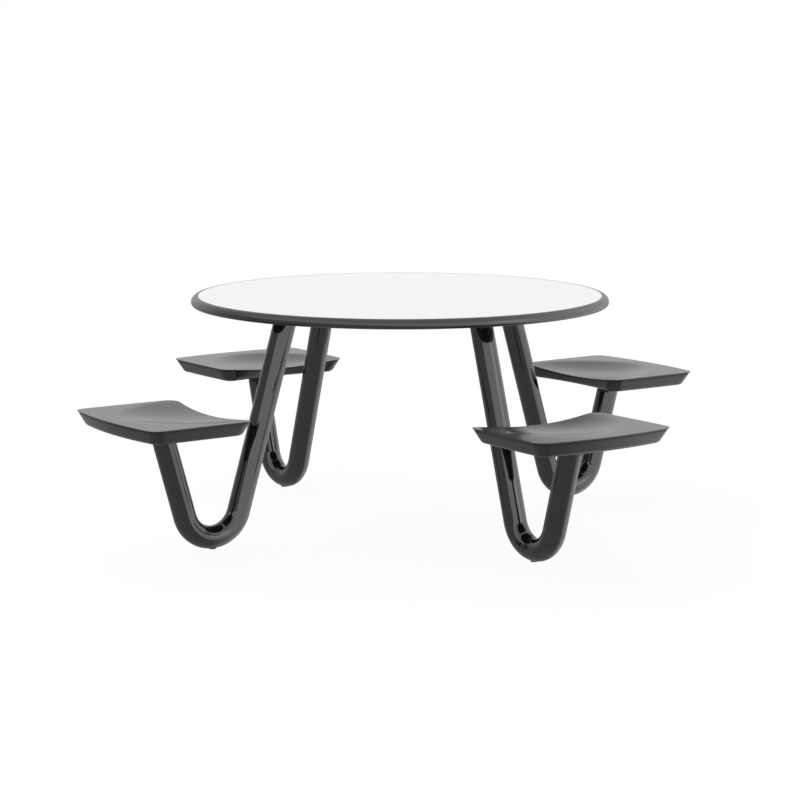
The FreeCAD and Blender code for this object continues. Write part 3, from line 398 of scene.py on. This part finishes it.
def sheet_section(sizes):
    """Section (r, z) of the laminate sheet from the middle of its underside round the rim, with
    an eased upper edge, to the middle of its face. Rows half-way and close to the rim keep the
    faces small."""
    rim, face = sizes.radius - sizes.band, sizes.height
    half_way, near_rim = rim * 0.5, rim * 0.98
    ease = 0.25 * MM
    return np.vstack([
        [[half_way, face - sizes.sheet]],
        [[rim, face - sizes.sheet]],
        arc((rim - ease, face - ease), ease, 0, 90, 3),
        [[near_rim, face]],
        [[half_way, face]],
    ])


class SWIVELTABLE_OT_top(bpy.types.Operator):
    """Makes the laminate face and the edge band, and finishes board and backer"""
    bl_idname = "swivel_table.top"
    bl_label = "Round top"

    def execute(self, context):
        sizes = context.scene.swivel_top
        band = surface("edge_band", revolved(band_section(sizes), ROUND_STEPS), "table",
                       edge_band(sizes.band_colour), ring=True)
        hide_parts("edge_moulding")
        sheet = surface("laminate_face", revolved(sheet_section(sizes), ROUND_STEPS), "table",
                        laminate(sizes.laminate_colour),
                        start=(0, 0, sizes.height - sizes.sheet), end=(0, 0, sizes.height))
        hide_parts("laminate_top")
        finish(particle_board(), "core_board")
        finish(backing_sheet(), "backer_sheet")
        return {"FINISHED"}


# ---------------------------------------------------------------- legs

BEND_STEPS = 64
TUBE_STEPS = 96
WELD_STEPS = 360

# Scales of the weld round the tube, 4 mm apart, and how far each swells.
WELD_SCALES = 58
WELD_SWELL = 0.07

# Section of the weld in shares of its leg: out from the tube's skin, and down from the flange.
WELD_SECTION = ((-0.15, 1.0), (0.0, 1.0), (0.46, 0.72), (0.80, 0.34), (1.0, 0.0), (-0.15, 0.0))


def leg_path(sizes, ends):
    """Centreline of the tube in the leg's upright plane as places (x, z) and directions: down
    the long arm, round the bend and up the short arm. The bend is middle + bend (cos t, sin t),
    t from 180 degrees plus the long arm's lean to 360 degrees less the short arm's. ends are
    the heights at which the arms are cut."""
    middle = np.array([sizes.foot, sizes.drop + sizes.tube / 2 + sizes.bend])
    turn = np.linspace(math.pi + sizes.table_lean, 2 * math.pi - sizes.seat_lean, BEND_STEPS + 1)
    bend = middle + sizes.bend * np.stack([np.cos(turn), np.sin(turn)], axis=-1)
    along = np.stack([-np.sin(turn), np.cos(turn)], axis=-1)
    start = bend[0] + along[0] * (ends[0] - bend[0, 1]) / along[0, 1]
    end = bend[-1] + along[-1] * (ends[1] - bend[-1, 1]) / along[-1, 1]
    return np.vstack([start, bend, end]), np.vstack([along[:1], along, along[-1:]])


def carried_ring(places, along, radius):
    """A ring carried along the path: place + radius (cos a * side + sin a * across), where side
    lies in the leg's plane, square to the path. The first and last ring slide along the path to
    lie level."""
    a = np.linspace(0.0, 2 * math.pi, TUBE_STEPS, endpoint=False)
    side = np.stack([along[:, 1], -along[:, 0]], axis=-1)
    x = places[:, :1] + radius * np.cos(a) * side[:, :1]
    z = places[:, 1:] + radius * np.cos(a) * side[:, 1:]
    y = radius * np.sin(a) + 0 * x
    for row in (0, -1):
        slide = (places[row, 1] - z[row]) / along[row, 1]
        x[row] += slide * along[row, 0]
        z[row] = places[row, 1]
    return np.stack([x, y, z], axis=-1)


def weld_bead(sizes, places, along):
    """Fillet weld between the long arm and its flange. It follows the tube's level end, an
    ellipse (long half * cos a, half * sin a); each point of the section stands off it by
    leg * out along (cos a, sin a) and slides leg * down along the arm. Laid scales make the leg
    swell by a sawtooth of the angle."""
    a = np.linspace(0.0, 2 * math.pi, WELD_STEPS, endpoint=False)
    half = sizes.tube / 2
    x = places[0, 0] + half / abs(along[0, 1]) * np.cos(a)
    y = half * np.sin(a)
    tooth = (a * WELD_SCALES / (2 * math.pi)) % 1.0
    leg = sizes.bead * (1.0 + WELD_SWELL * (1.0 - tooth))
    lean = along[0, 0] / along[0, 1]
    rows = [np.stack([x + np.cos(a) * leg * out - lean * leg * down,
                      y + np.sin(a) * leg * out,
                      places[0, 1] - leg * down], axis=-1) for out, down in WELD_SECTION]
    return np.stack(rows)


class SWIVELTABLE_OT_legs(bpy.types.Operator):
    """Makes the four bent tubes and their welds, and finishes the floor glides"""
    bl_idname = "swivel_table.legs"
    bl_label = "Bent tube legs"

    def execute(self, context):
        sizes = context.scene.swivel_legs
        paint = powder_coat(sizes.paint_colour)
        ends = (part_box("leg_flange_1")[0].z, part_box("arm_cap_1")[0].z)
        places, along = leg_path(sizes, ends)
        outside = carried_ring(places, along, sizes.tube / 2)
        inside = carried_ring(places, along, sizes.tube / 2 - sizes.wall)
        wall = np.vstack([outside, inside[::-1]])
        bead = weld_bead(sizes, places, along)
        for leg in LEGS:
            tube = surface("tube_leg_%d" % leg, turned(wall, leg), "table", paint,
                           ring=True)
            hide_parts("leg_tube_%d" % leg)
            surface("flange_weld_%d" % leg, turned(bead, leg), "table", paint,
                    ring=True)
        finish(nylon(), "floor_glides", "thrust_washers", *of_each_leg("swivel_bushes"))
        return {"FINISHED"}


# ---------------------------------------------------------------- frame and swivels

class SWIVELTABLE_OT_steel(bpy.types.Operator):
    """Finishes the frame under the top, its bolts and the parts of the swivels"""
    bl_idname = "swivel_table.steel"
    bl_label = "Frame and swivels"

    def execute(self, context):
        paint = frame_paint(context.scene.swivel_legs.paint_colour)
        finish(paint, "cross_beam_long", "cross_beam_short_2", "cross_beam_short_4",
               "frame_plates")
        for kind in ("leg_flange", "arm_cap", "swivel_housing", "seat_bracket"):
            finish(paint, *of_each_leg(kind))
        finish(zinc(), "top_bolts", "threaded_inserts", "retaining_washers", "retaining_screws",
               *of_each_leg("seat_screws"))
        finish(turned_steel(), *of_each_leg("spindle"))
        finish(spring_wire(), *of_each_leg("return_spring"))
        return {"FINISHED"}


# ---------------------------------------------------------------- seats

# The dish, from the table edge outwards, in millimetres: place from the pivot, depth below the
# rim and radius of the arc across.
DISH = np.array([
    (-200.0, 14.0, 1900.0),
    (-78.0, 19.0, 1370.0),
    (42.0, 13.0, 950.0),
    (135.0, 0.0, 850.0),
    (190.0, -8.0, 850.0),
])

# The shadow groove: millimetres under the bead, and share of the groove's depth.
GROOVE = ((0.15, 0.7), (0.5, 1.0), (2.4, 1.0), (3.0, 0.7), (3.6, 0.2), (4.4, 0.0))

# The turns, in degrees, over the bead's upper edge and under its lower one.
OVER_BEAD, UNDER_BEAD = (25, 50, 70, 90), (0, 30, 60, 90)

# Steps along each bow and each corner of the outline, and rows of the seat's faces.
BOW_STEPS, CORNER_STEPS = 28, 14
FACE_ROWS, SIDE_ROWS, ROUND_ROWS, UNDERFACE_ROWS = 60, 4, 12, 12


def seat_outline(reaches, halves, rises, corner):
    """Plan outline as points and outward normals. Four corner circles stand at the given reaches
    and halves from the pivot; between them lie bows, arcs that touch two corner circles and rise
    by the given amounts (below zero: inwards). A bow's radius through two centres is
    (chord^2 / 4 + rise^2) / (2 rise)."""
    centres = np.array([(reaches[1], -halves[1]), (reaches[1], halves[1]),
                        (-reaches[0], halves[0]), (-reaches[0], -halves[0])])
    bases, normals, ends = [], [], []
    for index, rise in enumerate(rises):
        a, b = centres[index], centres[(index + 1) % 4]
        chord = b - a
        side = math.copysign(1.0, rise)
        through = (chord @ chord / 4 + rise * rise) / (2 * abs(rise))
        outward = np.array([chord[1], -chord[0]]) / math.hypot(*chord)
        middle = (a + b) / 2 - outward * side * (through - abs(rise))
        turns = np.unwrap([math.atan2(*(p - middle)[::-1]) for p in (a, b)])
        way = np.linspace(turns[0], turns[1], BOW_STEPS, endpoint=False)
        towards = np.stack([np.cos(way), np.sin(way)], axis=-1)
        bases.append(middle + through * towards)
        normals.append(side * towards)
        ends.append([side * (p - middle) / through for p in (a, b)])
    points, outwards = [], []
    for index in range(4):
        before, after = ends[index - 1][1], ends[index][0]
        turns = np.unwrap([math.atan2(*before[::-1]), math.atan2(*after[::-1])])
        way = np.linspace(turns[0], turns[1], CORNER_STEPS, endpoint=False)
        round_corner = np.stack([np.cos(way), np.sin(way)], axis=-1)
        points += [centres[index] + corner * round_corner, bases[index] + corner * normals[index]]
        outwards += [round_corner, normals[index]]
    return np.vstack(points), np.vstack(outwards)


def dish_depth(x, y, softness):
    """Depth of the dish below the rim at x, y from the pivot: depth(x) less the sagitta of an arc
    across of radius(x), run out into the flat by the soft positive part w log(1 + exp(f / w)).
    depth(x) and radius(x) are the quartics through the stations."""
    place, depth, radius = (DISH * MM).T
    x = np.clip(x, place[0], place[-1])
    middle = np.polyval(np.polyfit(place, depth, 4), x)
    bow = np.polyval(np.polyfit(place, radius, 4), x)
    f = middle - (bow - np.sqrt(bow * bow - y * y))
    return softness * np.logaddexp(0.0, f / softness)


def seat_skin(sizes, pivot):
    """The whole skin of the moulding as rows of a closed surface, laid from the middle of its top
    face over the rim and its bead, down the tapered side, round the lower edge, under the lip, up
    the inner wall and back to the middle under the face, and then put in reverse order so that
    the side goes up. Side rows run along straight lines from the upper to the lower outline.
    Gives the rows and the poles above and below the middle."""
    rises = (sizes.back_bow, sizes.side_bow, -sizes.front_hollow, sizes.side_bow)
    upper, out_upper = seat_outline((sizes.front_reach, sizes.back_reach),
                                    (sizes.front_half, sizes.back_half), rises, sizes.corner)
    lower, out_lower = seat_outline(
        (sizes.front_reach - sizes.front_taper, sizes.back_reach - sizes.back_taper),
        (sizes.front_half - sizes.side_taper, sizes.back_half - sizes.side_taper),
        rises, sizes.corner)
    tall = sizes.thickness
    level = np.zeros(len(upper))

    def ring(depth, inset):
        """The outline at a depth below the rim, set in square to itself; both may vary round
        it."""
        share = ((depth + level) / tall).reshape(-1, 1)
        outward = out_upper * (1 - share) + out_lower * share
        outward /= np.linalg.norm(outward, axis=1, keepdims=True)
        plan = upper * (1 - share) + lower * share - outward * (inset + level).reshape(-1, 1)
        return np.column_stack([plan, -(depth + level)])

    def face(inset, down, shares):
        """Rows of the face, shrunk towards its middle, lowered by down and by the dish."""
        rim = ring(0.0, inset)
        rows = []
        for share in shares:
            row = rim * share
            row[:, 2] = -down - dish_depth(row[:, 0], row[:, 1], sizes.softness)
            rows.append(row)
        return rows

    # the top face, then the bead: a small round over its edge, one under it, the groove below
    proud = sizes.bead_depth
    rows = face(sizes.edge - proud, 0.0, np.linspace(0.0, 1.0, FACE_ROWS + 1)[1:])
    rim_drop = dish_depth(upper[:, 0], upper[:, 1], sizes.softness)
    for a in np.radians(OVER_BEAD):
        rows.append(ring(rim_drop + sizes.edge * (1 - math.cos(a)),
                         sizes.edge * (1 - math.sin(a)) - proud))
    under = sizes.bead_height - proud
    for a in np.radians(UNDER_BEAD):
        rows.append(ring(rim_drop + under + proud * math.sin(a), -proud * math.cos(a)))
    for down, share in GROOVE:
        rows.append(ring(rim_drop + sizes.bead_height + down * MM, sizes.groove * share))

    # the side, and the round along the lower edge, which turns from the side's lean to level
    slope = np.sum((upper - lower) * out_upper, axis=1) / tall
    lean = np.arctan(slope)
    reach = sizes.under_round * np.tan((math.pi / 2 - lean) / 2)
    start_depth = tall - reach * np.cos(lean)
    side_top = rim_drop + sizes.bead_height + GROOVE[-1][0] * MM
    for share in np.linspace(0, 1, SIDE_ROWS + 1)[1:-1]:
        rows.append(ring(side_top * (1 - share) + start_depth * share, 0.0))
    for share in np.linspace(0, 1, ROUND_ROWS + 1):
        a = share * (math.pi / 2 - lean)
        along = np.sin(a) * sizes.under_round
        aside = (1 - np.cos(a)) * sizes.under_round
        depth = start_depth + along * np.cos(lean) - aside * np.sin(lean)
        inwards = start_depth * slope + along * np.sin(lean) + aside * np.cos(lean)
        rows.append(ring(depth, inwards - depth * slope))

    # the lip with its eased edge, the inner wall above a blunt corner, the face from below
    ease, near, far = 1.0 * MM, 4.0 * MM, 12.0 * MM
    wall, lip, floor = sizes.wall, sizes.lip, tall - sizes.wall
    for inset, depth in ((lip - ease, tall), (lip, tall - ease), (lip, floor),
                         (wall + far, floor), (wall + near, floor - near), (wall, floor - far)):
        rows.append(ring(depth, inset))
    rows.append(ring(rim_drop + wall, wall))
    rows += face(wall, wall, np.linspace(1.0, 0.0, UNDERFACE_ROWS + 1)[1:-1])
    centre = dish_depth(np.zeros(1), np.zeros(1), sizes.softness)[0]
    place = np.array([pivot, 0.0, sizes.height])
    return np.stack(rows[::-1]) + place, place - (0, 0, centre), place - (0, 0, centre + wall)


class SWIVELTABLE_OT_seats(bpy.types.Operator):
    """Makes the four seat mouldings and finishes the panels under them"""
    bl_idname = "swivel_table.seats"
    bl_label = "Seat mouldings"

    def execute(self, context):
        sizes = context.scene.swivel_seats
        plastic = seat_plastic(sizes.seat_colour)
        low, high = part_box("swivel_bushes_1")
        points, top, bottom = seat_skin(sizes, (low.x + high.x) / 2)
        for leg in LEGS:
            seat = surface("seat_moulding_%d" % leg, turned(points, leg), "seat_%d" % leg, plastic,
                           start=turned(bottom, leg), end=turned(top, leg))
            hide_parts("seat_shell_%d" % leg)
        finish(panel_plastic(), *of_each_leg("seat_pan"))
        return {"FINISHED"}


# ---------------------------------------------------------------- stage

# The studio that surfaces mirror is made of ramps of brightness. Each has a direction, the shares
# of the way along it at which the ramp starts and ends, and the brightness there.
UP, RIGHT, AWAY = (0.0, 0.0, 1.0), (1.0, 0.0, 0.0), (0.573, 0.820, 0.0)
RAMPS = {
    "ground": (UP, -0.9, -0.6, 0.30, 0.48),
    "right_screen": (RIGHT, 0.40, 0.72, 0.48, 1.35),
    "left_end": (RIGHT, -1.0, -0.85, 0.7, 1.65),
    "right_end": (RIGHT, 0.85, 1.0, 1.65, 1.3),
    "soft_box": ((0.454, -0.841, 0.292), 0.93, 1.0, 1.2, 2.8),
    "overhead": (UP, 0.4, 0.9, 1.0, 0.55),
    "above": ((0.360, -0.159, 0.919), -0.01, 0.01, 0.0, 1.0),
    "front": ((-0.172, -0.985, 0.0), -1.0, -0.15, 0.04, 1.0),
    "rising": (UP, -0.20, 0.15, 0.42, 0.80),
    "falling": (UP, 0.15, 0.35, 0.80, 0.66),
    "far": (AWAY, 0.3, 0.8, 0.42, 0.80),
    "sky": ((0.200, 0.287, 0.937), -0.6, 1.0, 0.02, 0.55),
}
SOFT_RAMPS = ("front",)

# What is joined from two ramps or from earlier joins.
JOINS = (
    ("low", "MAXIMUM", "ground", "right_screen"),
    ("ends", "MINIMUM", "left_end", "right_end"),
    ("lights", "MAXIMUM", "ends", "soft_box"),
    ("high", "MULTIPLY", "lights", "overhead"),
    ("level", "MINIMUM", "rising", "falling"),
    ("back", "MINIMUM", "level", "far"),
)


def studio_floor(value):
    """Pale floor that takes the table's soft shadow. The camera sees mostly its own white light,
    so the shadow stays faint, and sees through it from below; reflections go through it to the
    studio, and its bounce light is held down."""
    own_light, bounce = 0.96, 0.12
    material = bpy.data.materials.new("studio_floor")
    material.use_nodes = True
    tree = material.node_tree
    tree.nodes.clear()
    rays = add(tree, "ShaderNodeLightPath")
    side = add(tree, "ShaderNodeNewGeometry")
    clear = add(tree, "ShaderNodeBsdfTransparent")
    matt = add(tree, "ShaderNodeBsdfDiffuse", {"Color": (*value, 1.0)})
    dull = add(tree, "ShaderNodeBsdfDiffuse", {"Color": (bounce, bounce, bounce, 1.0)})
    white = add(tree, "ShaderNodeEmission", {"Color": (*value, 1.0), "Strength": 1.0})
    seen = add(tree, "ShaderNodeMixShader", {0: own_light},
               {1: matt.outputs[0], 2: white.outputs[0]})
    lit = add(tree, "ShaderNodeMixShader", None,
              {0: rays.outputs["Is Camera Ray"], 1: dull.outputs[0], 2: seen.outputs[0]})
    through = add(tree, "ShaderNodeMath", {"operation": "MAXIMUM"},
                  {0: rays.outputs["Is Glossy Ray"], 1: side.outputs["Backfacing"]})
    whole = add(tree, "ShaderNodeMixShader", None,
                {0: through.outputs[0], 1: lit.outputs[0], 2: clear.outputs[0]})
    add(tree, "ShaderNodeOutputMaterial", None, {"Surface": whole.outputs[0]})
    return material


def studio_world():
    """White for the camera, an even sky for the light on the surfaces, and for reflections the
    brighter of two things. One is a wall that fades away from the front. Below a tilted plane of
    directions it is grey, darker straight down and bright on the right. Above the plane it is
    bright, less so far left, far right and overhead, and holds a soft box. The other is a grey
    all round, which is paler away from the camera and palest at eye level."""
    world = bpy.data.worlds.new("studio")
    world.use_nodes = True
    bpy.context.scene.world = world
    tree = world.node_tree
    tree.nodes.clear()
    rays = add(tree, "ShaderNodeLightPath")
    way = add(tree, "ShaderNodeTexCoord").outputs["Generated"]
    part = {}
    for name, (direction, first, last, at_first, at_last) in RAMPS.items():
        along = add(tree, "ShaderNodeVectorMath", {"operation": "DOT_PRODUCT", 1: direction},
                    {0: way})
        curve = "SMOOTHSTEP" if name in SOFT_RAMPS else "LINEAR"
        ramp = add(tree, "ShaderNodeMapRange",
                   {"interpolation_type": curve, "From Min": first, "From Max": last,
                    "To Min": at_first, "To Max": at_last}, {"Value": along.outputs["Value"]})
        part[name] = ramp.outputs["Result"]
    for name, operation, one, other in JOINS:
        joined = add(tree, "ShaderNodeMath", {"operation": operation},
                     {0: part[one], 1: part[other]})
        part[name] = joined.outputs["Value"]
    wall = add(tree, "ShaderNodeMix", {"data_type": "FLOAT"},
               {0: part["above"], 2: part["low"], 3: part["high"]})
    fading = add(tree, "ShaderNodeMath", {"operation": "MULTIPLY"},
                 {0: wall.outputs[0], 1: part["front"]})
    mirrored = add(tree, "ShaderNodeMath", {"operation": "MAXIMUM"},
                   {0: fading.outputs["Value"], 1: part["back"]})
    soft = add(tree, "ShaderNodeMix", {"data_type": "FLOAT"},
               {0: rays.outputs["Is Glossy Ray"], 2: part["sky"], 3: mirrored.outputs["Value"]})
    direct = add(tree, "ShaderNodeMix", {"data_type": "FLOAT", 3: 1.0},
                 {0: rays.outputs["Is Camera Ray"], 2: soft.outputs[0]})
    light = add(tree, "ShaderNodeBackground", {"Color": (1.0, 1.0, 1.0, 1.0)},
                {"Strength": direct.outputs[0]})
    add(tree, "ShaderNodeOutputWorld", None, {"Surface": light.outputs[0]})


def soft_sun(name, bearing, height, level):
    """A wide even lamp from a bearing (degrees from +X) and a height above the floor (degrees),
    which lights a surface square to it as bright as level times its own colour."""
    lamp = bpy.data.lights.new(name, "SUN")
    lamp.angle = math.radians(60.0)
    lamp.energy = level * math.pi
    obj = bpy.data.objects.new(name, lamp)
    bpy.context.scene.collection.objects.link(obj)
    obj.rotation_euler = (math.radians(90.0 - height), 0.0, math.radians(bearing + 90.0))
    obj.visible_glossy = False


class SWIVELTABLE_OT_stage(bpy.types.Operator):
    """Makes the floor, the soft studio light and the camera"""
    bl_idname = "swivel_table.stage"
    bl_label = "Floor, light and camera"

    def execute(self, context):
        sizes = context.scene.swivel_stage
        mesh = bpy.data.meshes.new("floor")
        half = 60.0
        mesh.from_pydata([(-half, -half, 0), (half, -half, 0), (half, half, 0), (-half, half, 0)],
                         [], [(0, 1, 2, 3)])
        mesh.materials.append(studio_floor(sizes.floor_colour))
        floor = bpy.data.objects.new("floor", mesh)
        context.scene.collection.objects.link(floor)
        studio_world()
        soft_sun("overhead", bearing=100.0, height=60.0, level=0.69)
        soft_sun("left_fill", bearing=175.0, height=20.0, level=0.15)
        lens = bpy.data.cameras.new("camera")
        lens.sensor_width = 36.0
        lens.lens = sizes.lens
        camera = bpy.data.objects.new("camera", lens)
        context.scene.collection.objects.link(camera)
        camera.location = (sizes.distance * math.sin(sizes.bearing),
                           -sizes.distance * math.cos(sizes.bearing), sizes.height)
        camera.rotation_euler = (math.pi / 2 - sizes.pitch, 0.0, sizes.bearing)
        context.scene.camera = camera
        context.scene.view_settings.view_transform = "Standard"
        return {"FINISHED"}


# ---------------------------------------------------------------- the add-on

OPERATORS = (SWIVELTABLE_OT_top, SWIVELTABLE_OT_legs, SWIVELTABLE_OT_steel, SWIVELTABLE_OT_seats,
             SWIVELTABLE_OT_stage)
GROUPS = {"swivel_top": TopSizes, "swivel_legs": LegSizes, "swivel_seats": SeatSizes,
          "swivel_stage": StageSizes}


class SWIVELTABLE_PT_panel(bpy.types.Panel):
    """Lists the pieces of the table, with their sizes and colours"""
    bl_idname = "SWIVELTABLE_PT_panel"
    bl_label = "Table with swivel seats"
    bl_space_type = "VIEW_3D"
    bl_region_type = "UI"
    bl_category = "Swivel table"

    def draw(self, context):
        for name, group in GROUPS.items():
            box = self.layout.box()
            for value in group.__annotations__:
                box.prop(getattr(context.scene, name), value)
        for operator in OPERATORS:
            self.layout.operator(operator.bl_idname)


CLASSES = (*GROUPS.values(), *OPERATORS, SWIVELTABLE_PT_panel)


def register():
    for cls in CLASSES:
        bpy.utils.register_class(cls)
    for name, group in GROUPS.items():
        setattr(bpy.types.Scene, name, PointerProperty(type=group))


def unregister():
    for name in GROUPS:
        delattr(bpy.types.Scene, name)
    for cls in reversed(CLASSES):
        bpy.utils.unregister_class(cls)


def main():
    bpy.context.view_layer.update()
    register()
    for operator in OPERATORS:
        group, name = operator.bl_idname.split(".")
        getattr(getattr(bpy.ops, group), name)()


if __name__ == "__main__":
    main()
